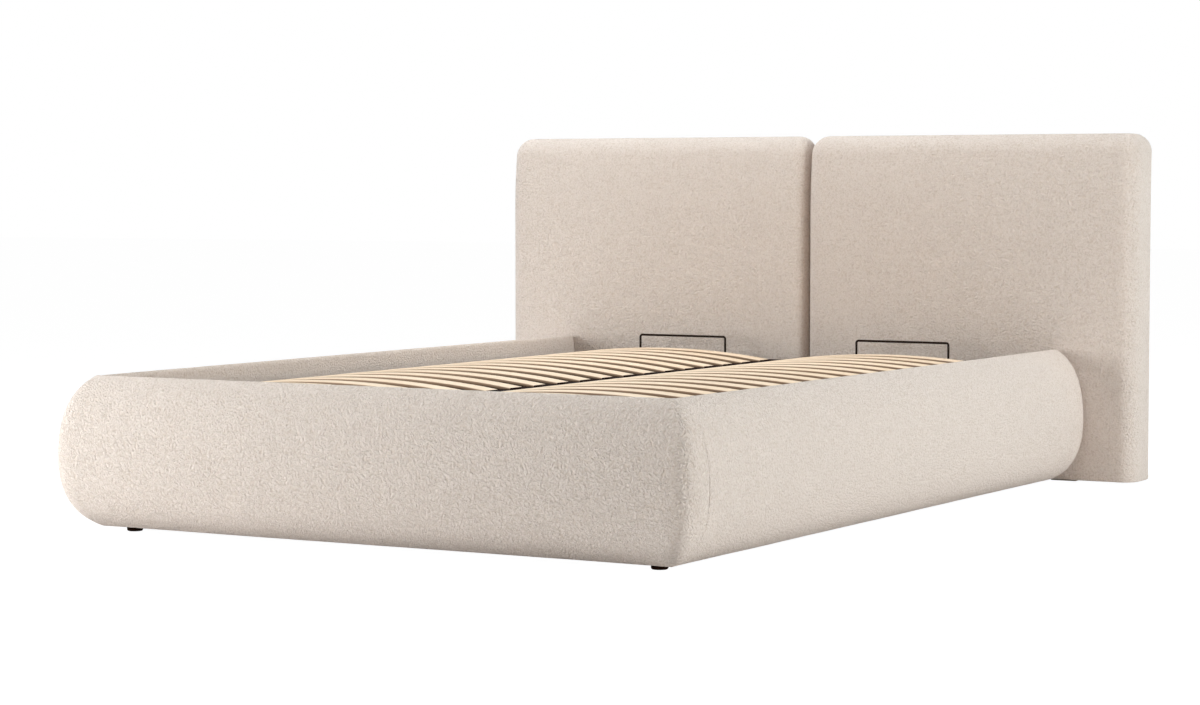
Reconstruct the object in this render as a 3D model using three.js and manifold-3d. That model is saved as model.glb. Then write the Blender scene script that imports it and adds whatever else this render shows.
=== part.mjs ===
// Ottoman bed for a 140 x 200 cm mattress: an upholstered frame with a lift-up slatted base
// over a storage box, and a headboard of two padded panels that stand on the floor.
// Units are millimetres. +Z is up, +Y runs from the foot to the headboard, +X to the right seen
// from the foot, and the origin is on the floor under the middle of the bed.
import * as THREE from "three";
import { mergeVertices } from "three/addons/utils/BufferGeometryUtils.js";
import Module from "manifold-3d";

const wasm = await Module();
wasm.setup();

// Fits
const seatGap = 0.3; // between two pieces that touch
const overrun = 5; // how far a cutter passes the face that it opens
const weld = 0.001; // corners closer than this are one corner

// Mattress and the room round it
const mattressWidth = 1400;
const mattressLength = 2000;
const mattressSideRoom = 27.5;
const mattressFootRoom = 4;
const mattressHeadRoom = 86; // from the mattress to the headboard, for the lift-up swing

// Side rails and footboard: one D-shaped bolster section round three sides of the bed
const railThickness = 88;
const railGround = 13; // underside above the floor
const railMiddle = 172; // height of the widest point
const railCrown = 361; // height that the upper curve aims for
const railFoot = 7.5; // height that the lower curve aims for
const railCentreInset = 40; // the curve's centre lies this far inside the inner face
const railFullness = 2.27; // exponent of the superellipse
const crestRadius = 12; // soft inner top edge
const railEndRadius = 18; // soft edge where a side rail meets the headboard
const cornerFullness = 3.4; // exponent of a foot corner's outline seen from above

// Boards inside the rails
const boardThickness = 25;
const boardFootCover = 32; // padding below the board
const boardCrownCover = 61; // and above it
const cornerBlockWidth = 90;
const cornerBlockDepth = 80;
const cornerBlockRoom = 33.7; // from a corner block up to the closed frame

// Headboard
const headboardWidth = 1893;
const headboardTop = 915;
const headboardGround = 10;
const headboardDepth = 174;
const panelGap = 2;
const panelEdgeRadius = 50; // rounding over the top
const panelFaceRadius = 42; // upright edges of the face
const panelBackRadius = 70; // outer upright edge of the back
const panelGapRadius = 120; // and the one beside the other panel
const panelBottomRadius = 6;
const panelCrown = 4; // how far the middle of the face stands out
const panelCrownPower = 6;
const panelBoardThickness = 25;
const panelBoardSetback = 80; // foam in front of the board
const panelBoardMargin = 62; // foam round the board's edges
const panelFootWidth = 70;
const panelFootInset = 125; // from the ends of the board to its feet

// Glides under the front corners
const glideRadius = 18;
const glideHeight = railGround;
const glideTreadRadius = 16;
const glideNeckRadius = 13;
const glideRim = 3;
const glideSideInset = 52.5; // from the inner face of the side rail
const glideFootInset = 46; // from the inner face of the footboard

// Storage floor
const floorRise = 23.3; // from the boards' lower edge
const floorThickness = 6;
const grooveDepth = 8; // groove in the boards that holds the floor
const floorEdgeRoom = 1;
const beamWidth = 44;
const beamHeight = 48;
const beamLegRadius = 20;
const beamLegReach = 500; // from the middle of the bed to each leg

// Slats
const slatWidth = 53;
const slatThickness = 8;
const slatsPerColumn = 18;
const slatInnerTop = 312; // height of a slat's top face at the middle rail
const slatOuterTop = 305; // and at the side tube
const slatArch = 26;
const slatInnerEnd = 23; // from the middle of the bed
const slatEndInset = 10; // from a slat's outer end to the side of the frame
const firstSlatRoom = 99.7; // from the footboard to the middle of the first slat
const lastSlatRoom = 107; // from the mattress stops back to the last slat
const slatNose = 3; // rounded long edges

// Moulded holders pressed onto the ends of each slat
const holderBase = 3; // floor of the outer holder under its slat
const holderSide = 3; // wall beside a slat's long edge
const holderGrip = 25; // how far a slat's end lies in its holder
const holderWall = 4; // end wall of the outer holder
const holderCheek = 5; // height of the walls beside the slat
const holderBite = 2; // how far the end wall covers the slat

// Lift-up steel frame
const frameTube = 30;
const frameWall = 2;
const frameSideRoom = 32.5; // to the side boards
const frameFootRoom = 10; // to the inner face of the footboard
const middleRailWidth = 40;
const crossTubes = 2;
const restBattenDepth = 30;
const restBattenHeight = 30;
const restBattenRoom = 137; // from its ends to the corner blocks

// Mattress stops: wire hoops at the head end
const stopWireRadius = 3;
const stopCentre = 331;
const stopWidth = 266;
const stopTop = 367;
const stopCornerRadius = 9;

// Lift mechanism: one pivot and one gas strut on each side
const pivotFromHeadboard = 312;
const pivotDrop = 28.7; // below the frame
const pivotPinRadius = 6;
const pivotHeadRadius = 10;
const pivotHeadThickness = 4;
const pivotBossRadius = 11;
const armThickness = 5;
const armHalfLength = 110;
const armLobeRadius = 24;
const plateThickness = 4;
const platePivotRadius = 30;
const plateStrutRadius = 22;
const strutFootReach = 235; // from the pivot to the fixed stud, towards the foot
const strutFootDrop = 130;
const strutHeadReach = 595; // from the pivot to the stud on the frame
const strutHeadRise = 48;
const strutRadius = 9;
const strutWall = 1.5;
const strutBottomWall = 8;
const strutGland = 14;
const strutRodRadius = 4;
const strutPistonLength = 12;
const strutPistonRoom = 15;
const strutSideRoom = 16; // from a strut's middle to the side board
const strutEyeRadius = 11;
const strutEyeWidth = 19;
const strutNeck = 14;
const strutNeckRadius = 5;
const strutRodShow = 30; // bare rod with the bed closed
const strutSocketRadius = 10;
const frameStudRadius = 6;
const strutPinRadius = 4;
const strutPinHeadRadius = 6.5;
const strutPinHead = 3.5;

// Fineness of the round shapes
const bolsterSteps = 16;
const crestSteps = 3;
const endSteps = 3;
const turnSteps = 10;
const slatSteps = 6;
const roundSides = 16;
const plateSteps = 8;
const wireSides = 8;
const bendSteps = 3;
const arcSteps = 5;
const lowerArcSteps = 2;
const panelSteps = 6;

// Places worked out from the sizes above
const bayHalf = mattressWidth / 2 + mattressSideRoom;
const bayLength = mattressLength + mattressFootRoom + mattressHeadRoom;
const bedLength = railThickness + bayLength + headboardDepth;
const footInner = railThickness - bedLength / 2;
const headFront = bedLength / 2 - headboardDepth;
const railEnd = headFront - seatGap;
const boardFootEnd = footInner - boardThickness;
const boardBottom = railGround + boardFootCover;
const boardTop = railCrown - boardCrownCover;
const floorBottom = boardBottom + floorRise;
const floorTop = floorBottom + floorThickness;
const frameTop = slatOuterTop - slatThickness - holderBase - seatGap;
const frameBottom = frameTop - frameTube;
const frameFootEnd = footInner + frameFootRoom;
const stopPlane = footInner + mattressFootRoom + mattressLength + stopWireRadius;
const frameHeadEnd = stopPlane + frameTube / 2;
const firstSlat = footInner + firstSlatRoom;
const slatPitch = (stopPlane - lastSlatRoom - firstSlat) / (slatsPerColumn - 1);
const frameHalfWidth = bayHalf - frameSideRoom;
const slatOuterEnd = frameHalfWidth - slatEndInset;
const armInner = frameHalfWidth - frameWall / 2; // the arm is welded into the tube's wall
const armOuter = armInner + armThickness;
const pivot = { y: headFront - pivotFromHeadboard, z: frameBottom - pivotDrop };
const strutFoot = { y: pivot.y - strutFootReach, z: pivot.z - strutFootDrop };
const strutHead = { y: pivot.y - strutHeadReach, z: pivot.z + strutHeadRise };
const strutLength = Math.hypot(strutHead.y - strutFoot.y, strutHead.z - strutFoot.z);
const strutLean = Math.atan2(strutHead.z - strutFoot.z, strutHead.y - strutFoot.y);
const plateOuter = bayHalf - seatGap;
const plateInner = plateOuter - plateThickness;
const strutCentre = bayHalf - strutSideRoom;
const strutEyeInner = strutCentre - strutEyeWidth / 2;

// Materials
const boucle = new THREE.MeshStandardMaterial({ color: 0xe3d8cd, roughness: 0.95, metalness: 0 });
const birch = new THREE.MeshStandardMaterial({ color: 0xecd7b4, roughness: 0.5, metalness: 0 });
const boardWood = new THREE.MeshStandardMaterial({ color: 0xc9ad84, roughness: 0.7, metalness: 0 });
const floorBoard = new THREE.MeshStandardMaterial({ color: 0xb39772, roughness: 0.8, metalness: 0 });
const blackSteel = new THREE.MeshStandardMaterial({ color: 0x1d1b1a, roughness: 0.45, metalness: 0.6 });
const brightSteel = new THREE.MeshStandardMaterial({ color: 0xc8c8c8, roughness: 0.2, metalness: 1 });
const blackPlastic = new THREE.MeshStandardMaterial({ color: 0x141312, roughness: 0.55, metalness: 0 });

// A closed geometry as a solid that can be joined and cut. Faces that point inwards are turned.
function solid(geometry) {
  const bare = geometry.index ? geometry.toNonIndexed() : geometry.clone();
  bare.deleteAttribute("normal");
  bare.deleteAttribute("uv");
  const welded = mergeVertices(bare, weld);
  const triVerts = new Uint32Array(welded.index.array);
  const vertProperties = welded.attributes.position.array;
  const made = new wasm.Manifold(new wasm.Mesh({ numProp: 3, vertProperties, triVerts }));
  if (made.volume() > 0) return made;
  const turned = triVerts.map((_, i) => triVerts[i - (i % 3) + (2 - (i % 3))]);
  return new wasm.Manifold(new wasm.Mesh({ numProp: 3, vertProperties, triVerts: turned }));
}

function join(...solids) {
  return solids.reduce((all, one) => all.add(one));
}

function cut(from, ...tools) {
  return tools.reduce((left, tool) => left.subtract(tool), from);
}

// A solid's faces as a geometry.
function faces(made) {
  const { vertProperties, triVerts } = made.getMesh();
  const geometry = new THREE.BufferGeometry();
  geometry.setAttribute("position", new THREE.BufferAttribute(new Float32Array(vertProperties), 3));
  geometry.setIndex(new THREE.BufferAttribute(new Uint32Array(triVerts), 1));
  geometry.computeVertexNormals();
  return geometry;
}

function mirrored(made) {
  return solid(faces(made).scale(-1, 1, 1));
}

// A box between two limits on each axis.
function block([x0, x1], [y0, y1], [z0, z1]) {
  const box = new THREE.BoxGeometry(x1 - x0, y1 - y0, z1 - z0);
  return solid(box.translate((x0 + x1) / 2, (y0 + y1) / 2, (z0 + z1) / 2));
}

// A round bar along X from x0 to x1.
function crossPin(radius, x0, x1, { y, z }, sides = roundSides) {
  const bar = new THREE.CylinderGeometry(radius, radius, x1 - x0, sides);
  return solid(bar.rotateZ(Math.PI / 2).translate((x0 + x1) / 2, y, z));
}

// The radius of a hole with flat sides that clears a round pin by the seat gap.
function holeRadius(pinRadius, sides = roundSides) {
  return (pinRadius + seatGap) / Math.cos(Math.PI / sides);
}

// An outline in Y and Z, carried along X from x0 to x1.
function sidePlate(outline, x0, x1) {
  const plate = new THREE.ExtrudeGeometry(outline, {
    depth: x1 - x0,
    bevelEnabled: false,
    curveSegments: plateSteps,
  });
  const toSide = new THREE.Matrix4().makeBasis(
    new THREE.Vector3(0, 1, 0),
    new THREE.Vector3(0, 0, 1),
    new THREE.Vector3(1, 0, 0),
  );
  return solid(plate.applyMatrix4(toSide).translate(x0, 0, 0));
}

// An outline in X and Y, carried up from z0 to z1.
function upright(points, z0, z1) {
  const outline = new THREE.Shape(points.map(([x, y]) => new THREE.Vector2(x, y)));
  const prism = new THREE.ExtrudeGeometry(outline, { depth: z1 - z0, bevelEnabled: false });
  return solid(prism.translate(0, 0, z0));
}

// A skin over rings of equal point counts, closed by a flat cap at each end.
function loft(rings) {
  const count = rings[0].length;
  const corners = rings.flat();
  const triangles = [];
  for (let r = 0; r + 1 < rings.length; r++) {
    for (let i = 0; i < count; i++) {
      const a = r * count + i;
      const b = r * count + ((i + 1) % count);
      triangles.push(a, b, b + count, a, b + count, a + count);
    }
  }
  const cap = (ring, first, forward) => {
    const flat = flattened(ring);
    for (const [a, b, c] of THREE.ShapeUtils.triangulateShape(flat, [])) {
      const order = forward === THREE.ShapeUtils.isClockWise(flat) ? [a, c, b] : [a, b, c];
      triangles.push(...order.map((k) => first + k));
    }
  };
  cap(rings[0], 0, false);
  cap(rings.at(-1), corners.length - count, true);
  const geometry = new THREE.BufferGeometry().setFromPoints(corners);
  geometry.setIndex(triangles);
  return solid(geometry);
}

// The points of a flat ring in the two axes that it spans best.
function flattened(ring) {
  const box = new THREE.Box3().setFromPoints(ring);
  const size = box.getSize(new THREE.Vector3());
  const axes = ["x", "y", "z"].sort((a, b) => size[b] - size[a]).slice(0, 2).sort();
  return ring.map((p) => new THREE.Vector2(p[axes[0]], p[axes[1]]));
}

// The D section of the rails as [out, height] points, out from the inner face. The skin follows a
// superellipse round the outside, and a soft crest turns it into the flat inner face. A shrink
// draws the skin in all round, for a soft end.
function railSection(shrink = 0) {
  const reach = railThickness + railCentreInset - shrink;
  const rise = railCrown - railMiddle - shrink;
  const drop = railMiddle - railFoot - shrink;
  const angleAt = (out) => Math.acos(((out + railCentreInset) / reach) ** (railFullness / 2));
  const skin = (angle) => {
    const out = reach * Math.cos(angle) ** (2 / railFullness) - railCentreInset;
    const height = Math.abs(Math.sin(angle)) ** (2 / railFullness);
    return [out, railMiddle + (angle > 0 ? rise : -drop) * height];
  };
  const low = angleAt(0);
  const high = angleAt(crestRadius);
  const outer = [];
  for (let i = 0; i <= bolsterSteps; i++) {
    const share = (2 * i) / bolsterSteps - 1;
    outer.push(skin(share * (share < 0 ? low : high)));
  }
  outer[0][0] = 0;
  const corner = new THREE.Vector2(0, skin(low)[1]);
  const crest = new THREE.QuadraticBezierCurve(
    new THREE.Vector2(...outer.at(-1)),
    corner,
    new THREE.Vector2(0, corner.y - crestRadius),
  );
  const turned = crest.getPoints(crestSteps).slice(1).map((p) => [p.x, p.y]);
  return [...outer, ...turned];
}

// Pockets that hold the boards in the upholstery, open to the storage box.
function sideBoardPocket() {
  return block(
    [bayHalf - overrun, bayHalf + boardThickness + seatGap],
    [boardFootEnd - seatGap, headFront + overrun],
    [boardBottom - seatGap, boardTop + seatGap],
  );
}

function footBoardPocket() {
  return block(
    [-bayHalf - overrun, bayHalf + overrun],
    [boardFootEnd - seatGap, footInner + overrun],
    [boardBottom - seatGap, boardTop + seatGap],
  );
}

function sideRailCover() {
  const stations = [];
  for (let i = 0; i <= endSteps; i++) {
    const angle = (i / endSteps) * (Math.PI / 2);
    const along = railEnd - railEndRadius * (1 - Math.cos(angle));
    stations.push([along, railEndRadius * (1 - Math.sin(angle))]);
  }
  stations.push([footInner + seatGap, 0]);
  const run = loft(stations.map(([along, shrink]) =>
    railSection(shrink).map(([out, height]) => new THREE.Vector3(bayHalf + out, along, height))));
  return cut(run, sideBoardPocket());
}

// The footboard's padding comes round both corners to meet the side rails. In a turn the section
// swings round the upright line through the corner of the bay, and it is drawn out until the turn
// is a superellipse seen from above.
function footboardCover() {
  const right = [];
  for (let i = 0; i <= turnSteps; i++) {
    const angle = (1 - i / turnSteps) * (Math.PI / 2);
    const [side, foot] = [Math.sin(angle), Math.cos(angle)];
    const stretch = (side ** cornerFullness + foot ** cornerFullness) ** (-1 / cornerFullness);
    const place = ([out, height]) =>
      new THREE.Vector3(bayHalf + out * side * stretch, footInner - out * foot * stretch, height);
    right.push(railSection().map(place));
  }
  const left = right.map((ring) => ring.map((p) => new THREE.Vector3(-p.x, p.y, p.z))).reverse();
  const sidePocket = sideBoardPocket();
  return cut(loft([...right, ...left]), sidePocket, mirrored(sidePocket), footBoardPocket());
}

// The floor lies in a groove that runs along the inside of the boards.
const grooveLevels = [floorBottom - seatGap, floorTop + seatGap];
const floorNotch = footInner + cornerBlockDepth;

function sideBoard() {
  const board = block([bayHalf, bayHalf + boardThickness], [boardFootEnd, railEnd], [boardBottom, boardTop]);
  const groove = block(
    [bayHalf - overrun, bayHalf + grooveDepth],
    [floorNotch, railEnd + overrun],
    grooveLevels,
  );
  return cut(board, groove);
}

// The footboard's board has a block in each corner that takes a glide, and a batten that the
// closed lift-up frame lies on.
function footBoard() {
  const half = bayHalf - seatGap;
  const cornerBlockTop = frameBottom - cornerBlockRoom;
  const board = block([-half, half], [boardFootEnd, footInner], [boardBottom, boardTop]);
  const corners = [-1, 1].map((side) => {
    const x = [side * half, side * (half - cornerBlockWidth)].sort((a, b) => a - b);
    return join(
      block(x, [footInner + seatGap, footInner + cornerBlockDepth], [railGround + seatGap, cornerBlockTop]),
      block(x, [footInner - overrun, footInner + cornerBlockDepth], [boardBottom, cornerBlockTop]),
    );
  });
  const grooveHalf = half - cornerBlockWidth;
  const grooveY = [footInner - grooveDepth, footInner + overrun];
  const groove = block([-grooveHalf, grooveHalf], grooveY, grooveLevels);
  const battenHalf = half - cornerBlockWidth - restBattenRoom;
  const batten = block(
    [-battenHalf, battenHalf],
    [footInner - overrun, footInner + restBattenDepth],
    [frameBottom - seatGap - restBattenHeight, frameBottom - seatGap],
  );
  return cut(join(board, ...corners, batten), groove);
}

// Limits of the right-hand headboard panel and of the board inside it.
const panelX = [panelGap / 2, headboardWidth / 2];
const panelMiddle = (panelX[0] + panelX[1]) / 2;
const panelHalf = (panelX[1] - panelX[0]) / 2;
const panelBoardX = [panelX[0] + panelBoardMargin, panelX[1] - panelBoardMargin];
const panelBoardY = [headFront + panelBoardSetback, headFront + panelBoardSetback + panelBoardThickness];
const panelBoardTop = headboardTop - panelBoardMargin;

// One level of a headboard panel: a rectangle with round corners, drawn in by a shrink, with a
// face that swells towards its middle. Height is the share of the way up.
function panelRing(z, shrink) {
  const half = panelHalf - shrink;
  const front = panelCrown + shrink;
  const back = headboardDepth - shrink;
  const drawnIn = (radius) => Math.max(radius - shrink, panelBottomRadius);
  const face = drawnIn(panelFaceRadius);
  const outer = drawnIn(panelBackRadius);
  const inner = Math.min(drawnIn(panelGapRadius), back - front - face - panelBottomRadius);
  const up = (2 * (z - headboardGround)) / (headboardTop - headboardGround) - 1;
  const corners = [
    [half - face, front + face, face, -Math.PI / 2],
    [half - outer, back - outer, outer, 0],
    [inner - half, back - inner, inner, Math.PI / 2],
    [face - half, front + face, face, Math.PI],
  ];
  const ring = [];
  for (const [x, y, radius, start] of corners) {
    for (let i = 0; i <= arcSteps; i++) {
      const angle = start + (i / arcSteps) * (Math.PI / 2);
      ring.push([x + radius * Math.cos(angle), y + radius * Math.sin(angle)]);
    }
  }
  for (let i = 1; i < panelSteps; i++) {
    ring.push([(half - face) * ((2 * i) / panelSteps - 1), front]);
  }
  const swell = panelCrown * (1 - Math.abs(up) ** panelCrownPower);
  return ring.map(([x, y]) => {
    const fade = (1 - Math.abs(x / panelHalf) ** panelCrownPower) * (1 - y / headboardDepth);
    return new THREE.Vector3(panelMiddle + x, headFront + y - swell * fade, z);
  });
}

function headboardCover() {
  const rings = [];
  for (let i = 0; i <= lowerArcSteps; i++) {
    const angle = (i / lowerArcSteps) * (Math.PI / 2);
    rings.push(panelRing(headboardGround + panelBottomRadius * (1 - Math.cos(angle)),
      panelBottomRadius * (1 - Math.sin(angle))));
  }
  const shoulder = headboardTop - panelEdgeRadius;
  const lowest = headboardGround + panelBottomRadius;
  for (let i = 1; i < panelSteps; i++) {
    rings.push(panelRing(lowest + ((shoulder - lowest) * i) / panelSteps, 0));
  }
  for (let i = 0; i <= arcSteps; i++) {
    const angle = (i / arcSteps) * (Math.PI / 2);
    rings.push(panelRing(shoulder + panelEdgeRadius * Math.sin(angle),
      panelEdgeRadius * (1 - Math.cos(angle))));
  }
  const pocket = block(
    [panelBoardX[0] - seatGap, panelBoardX[1] + seatGap],
    [panelBoardY[0] - seatGap, panelBoardY[1] + seatGap],
    [headboardGround - overrun, panelBoardTop + seatGap],
  );
  return cut(loft(rings), pocket);
}

// The board inside a headboard panel stands on two short feet of its own.
function headboardBoard() {
  const board = block(panelBoardX, panelBoardY, [headboardGround, panelBoardTop]);
  const feet = [panelBoardX[0] + panelFootInset, panelBoardX[1] - panelFootInset - panelFootWidth];
  const legs = feet.map((x) => block([x, x + panelFootWidth], panelBoardY, [0, headboardGround + overrun]));
  return join(board, ...legs);
}

function glide() {
  const profile = [
    [0, 0],
    [glideTreadRadius, 0],
    [glideRadius, glideRim],
    [glideRadius, glideHeight - glideRim],
    [glideNeckRadius, glideHeight],
    [0, glideHeight],
  ].map(([r, z]) => new THREE.Vector2(r, z));
  const turned = new THREE.LatheGeometry(profile, roundSides).rotateX(Math.PI / 2);
  return solid(turned.translate(bayHalf - glideSideInset, footInner + glideFootInset, 0));
}

// Half of the storage floor, notched round the corner block.
function floorPanel() {
  const inner = floorEdgeRoom / 2;
  const outer = bayHalf + grooveDepth - seatGap;
  const foot = footInner - grooveDepth + seatGap;
  const head = headFront - floorEdgeRoom;
  const notchX = bayHalf - seatGap - cornerBlockWidth - floorEdgeRoom;
  const notchY = floorNotch + floorEdgeRoom;
  const notch = [[notchX, foot], [notchX, notchY], [outer, notchY]];
  return upright([[inner, foot], ...notch, [outer, head], [inner, head]], floorBottom, floorTop);
}

function floorBeam() {
  const top = floorBottom - seatGap;
  const bottom = top - beamHeight;
  const y = [footInner + seatGap, railEnd];
  const legs = [-beamLegReach, beamLegReach].map((place) => {
    const leg = new THREE.CylinderGeometry(beamLegRadius, beamLegRadius, bottom + overrun, roundSides);
    return solid(leg.rotateX(Math.PI / 2).translate(0, place, (bottom + overrun) / 2));
  });
  return join(block([-beamWidth / 2, beamWidth / 2], y, [bottom, top]), ...legs);
}

// The outline round two circles of different sizes.
function linkOutline(a, radiusA, b, radiusB) {
  const heading = Math.atan2(b.z - a.z, b.y - a.y);
  const spread = Math.acos((radiusA - radiusB) / Math.hypot(b.y - a.y, b.z - a.z));
  const outline = new THREE.Shape();
  outline.absarc(a.y, a.z, radiusA, heading + spread, heading - spread + 2 * Math.PI, false);
  outline.absarc(b.y, b.z, radiusB, heading - spread, heading + spread, false);
  return outline;
}

// The fixed plate of the lift mechanism, with its pivot pin and the stud that holds the strut.
function hingePlate() {
  const outline = linkOutline(pivot, platePivotRadius, strutFoot, plateStrutRadius);
  const plate = sidePlate(outline, plateInner, plateOuter);
  const boss = crossPin(pivotBossRadius, armOuter + seatGap, plateInner + plateThickness / 2, pivot);
  const pin = crossPin(pivotPinRadius, armInner - seatGap - pivotHeadThickness, plateInner, pivot);
  const head = crossPin(pivotHeadRadius, armInner - seatGap - pivotHeadThickness, armInner - seatGap, pivot);
  const studEnd = strutEyeInner - seatGap - strutPinHead;
  const stud = crossPin(strutPinRadius, studEnd, plateInner + plateThickness / 2, strutFoot);
  const studHead = crossPin(strutPinHeadRadius, studEnd, strutEyeInner - seatGap, strutFoot);
  const studBoss = crossPin(strutPinHeadRadius, strutEyeInner + strutEyeWidth + seatGap,
    plateInner + plateThickness / 2, strutFoot);
  return join(plate, boss, pin, head, stud, studHead, studBoss);
}

// An arm of the lift-up frame: a plate on the side tube that reaches down to the pivot.
function liftArm() {
  const outline = new THREE.Shape([
    new THREE.Vector2(pivot.y + armHalfLength, frameTop),
    new THREE.Vector2(pivot.y - armHalfLength, frameTop),
    new THREE.Vector2(pivot.y - armHalfLength, frameBottom),
    new THREE.Vector2(pivot.y - armLobeRadius, pivot.z),
    new THREE.Vector2(pivot.y + armLobeRadius, pivot.z),
    new THREE.Vector2(pivot.y + armHalfLength, frameBottom),
  ]);
  const lobe = crossPin(armLobeRadius, armInner, armOuter, pivot);
  const hole = crossPin(holeRadius(pivotPinRadius), armInner - overrun, armOuter + overrun, pivot);
  return cut(join(sidePlate(outline, armInner, armOuter), lobe), hole);
}

function slatPlace(index) {
  return firstSlat + slatPitch * index;
}

function liftFrame() {
  const inner = frameHalfWidth - frameTube;
  const clear = frameHeadEnd - frameFootEnd - frameTube;
  const tubes = (wall, ends) => {
    const levels = [frameBottom + wall, frameTop - wall];
    const along = [frameFootEnd - ends, frameHeadEnd + ends];
    const middle = middleRailWidth / 2 - wall;
    const across = [];
    for (let i = 0; i <= crossTubes + 1; i++) {
      const y = frameFootEnd + (clear * i) / (crossTubes + 1);
      across.push(block([-inner - wall, inner + wall], [y + wall, y + frameTube - wall], levels));
    }
    return join(
      block([inner + wall, frameHalfWidth - wall], along, levels),
      block([wall - frameHalfWidth, -inner - wall], along, levels),
      block([-middle, middle], [frameFootEnd + wall, frameHeadEnd - wall], levels),
      ...across,
    );
  };
  const stud = crossPin(frameStudRadius, frameHalfWidth - frameWall, strutEyeInner - seatGap, strutHead);
  const fittings = join(liftArm(), stud);
  let frame = cut(join(tubes(0, 0), fittings, mirrored(fittings)), tubes(frameWall, overrun));
  const socketRadius = holeRadius(stopWireRadius, wireSides);
  const legs = [stopCentre - stopWidth / 2, stopCentre + stopWidth / 2];
  for (const x of [...legs, ...legs.map((leg) => -leg)]) {
    const socket = new THREE.CylinderGeometry(socketRadius, socketRadius, frameTube, wireSides);
    frame = cut(frame, solid(socket.rotateX(Math.PI / 2).translate(x, stopPlane, frameTop)));
  }
  return frame;
}

// A wire hoop that keeps the mattress in place, its legs down in the head tube.
function mattressStop() {
  const half = stopWidth / 2;
  const top = stopTop - stopWireRadius;
  const foot = frameBottom + frameWall + seatGap;
  const at = (x, z) => new THREE.Vector3(x, stopPlane, z);
  const left = stopCentre - half;
  const right = stopCentre + half;
  const bendFoot = top - stopCornerRadius;
  const bendLeft = at(left + stopCornerRadius, top);
  const bendRight = at(right - stopCornerRadius, top);
  const wire = [
    new THREE.LineCurve3(at(left, foot), at(left, bendFoot)),
    new THREE.QuadraticBezierCurve3(at(left, bendFoot), at(left, top), bendLeft),
    new THREE.LineCurve3(bendLeft, bendRight),
    new THREE.QuadraticBezierCurve3(bendRight, at(right, top), at(right, bendFoot)),
    new THREE.LineCurve3(at(right, bendFoot), at(right, foot)),
  ];
  const rings = [];
  for (const part of wire) {
    const steps = part.isLineCurve3 ? 1 : bendSteps;
    for (let i = rings.length ? 1 : 0; i <= steps; i++) {
      const centre = part.getPoint(i / steps);
      const ahead = part.getTangent(i / steps);
      const side = new THREE.Vector3(ahead.z, 0, -ahead.x);
      const ring = [];
      for (let k = 0; k < wireSides; k++) {
        const angle = ((k + 0.5) / wireSides) * 2 * Math.PI;
        const offset = side.clone().multiplyScalar(stopWireRadius * Math.cos(angle));
        ring.push(centre.clone().add(offset).add(new THREE.Vector3(0, stopWireRadius * Math.sin(angle), 0)));
      }
      rings.push(ring);
    }
  }
  return loft(rings);
}

// A holder across the end of a slat, under it and a little way up beside it, with an end wall.
function slatHolder(along, wall, slatTop) {
  const half = slatWidth / 2 + holderSide;
  const foot = frameTop + seatGap;
  const cheekTop = slatTop - slatThickness + holderCheek;
  return join(
    block(along, [-half, half], [foot, cheekTop]),
    block(wall, [-half, half], [foot, slatTop]),
  );
}

// One slat of the right column, bent to an arch, with rounded long edges. The holders of its
// inner end and of the left slat's inner end meet on the middle rail.
function slat() {
  const length = slatOuterEnd - slatInnerEnd;
  const radius = (length * length) / 8 / slatArch + slatArch / 2;
  const half = slatWidth / 2;
  const middle = slatThickness / 2;
  const section = [
    [-half, -middle],
    [slatNose - half, 0],
    [half - slatNose, 0],
    [half, -middle],
    [half - slatNose, -slatThickness],
    [slatNose - half, -slatThickness],
  ];
  const rings = [];
  for (let i = 0; i <= slatSteps; i++) {
    const x = length * (i / slatSteps - 1 / 2);
    const chord = THREE.MathUtils.lerp(slatInnerTop, slatOuterTop, i / slatSteps);
    const z = chord + slatArch - radius + Math.sqrt(radius * radius - x * x);
    rings.push(section.map(([y, down]) => new THREE.Vector3(slatInnerEnd + length / 2 + x, y, z + down)));
  }
  const inner = slatHolder(
    [seatGap / 2, slatInnerEnd + holderGrip],
    [seatGap / 2, slatInnerEnd + holderBite],
    slatInnerTop,
  );
  const outer = slatHolder(
    [slatOuterEnd - holderGrip, slatOuterEnd + holderWall],
    [slatOuterEnd - holderBite, slatOuterEnd + holderWall],
    slatOuterTop,
  );
  return join(loft(rings), inner, outer);
}

// Gas strut parts, drawn along +Y from the fixed stud and then leaned to the stud on the frame.
const strutBodyEnd = strutLength - strutSocketRadius - strutRodShow;
const strutBore = strutRadius - strutWall;

function strutCylinder() {
  const floor = strutNeck + strutBottomWall;
  const bore = holeRadius(strutRodRadius);
  const profile = [
    [0, 0],
    [strutNeckRadius, 0],
    [strutNeckRadius, strutNeck],
    [strutRadius, strutNeck],
    [strutRadius, strutBodyEnd - strutWall],
    [strutRadius - strutWall, strutBodyEnd],
    [bore, strutBodyEnd],
    [bore, strutBodyEnd - strutGland],
    [strutBore, strutBodyEnd - strutGland],
    [strutBore, floor],
    [0, floor],
  ].map(([r, y]) => new THREE.Vector2(r, y));
  const body = solid(new THREE.LatheGeometry(profile, roundSides));
  const eyeHalf = strutEyeWidth / 2;
  const eye = crossPin(strutEyeRadius, -eyeHalf, eyeHalf, { y: 0, z: 0 });
  const hole = crossPin(holeRadius(strutPinRadius), -strutEyeWidth, strutEyeWidth, { y: 0, z: 0 });
  return cut(join(body, eye), hole);
}

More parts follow.
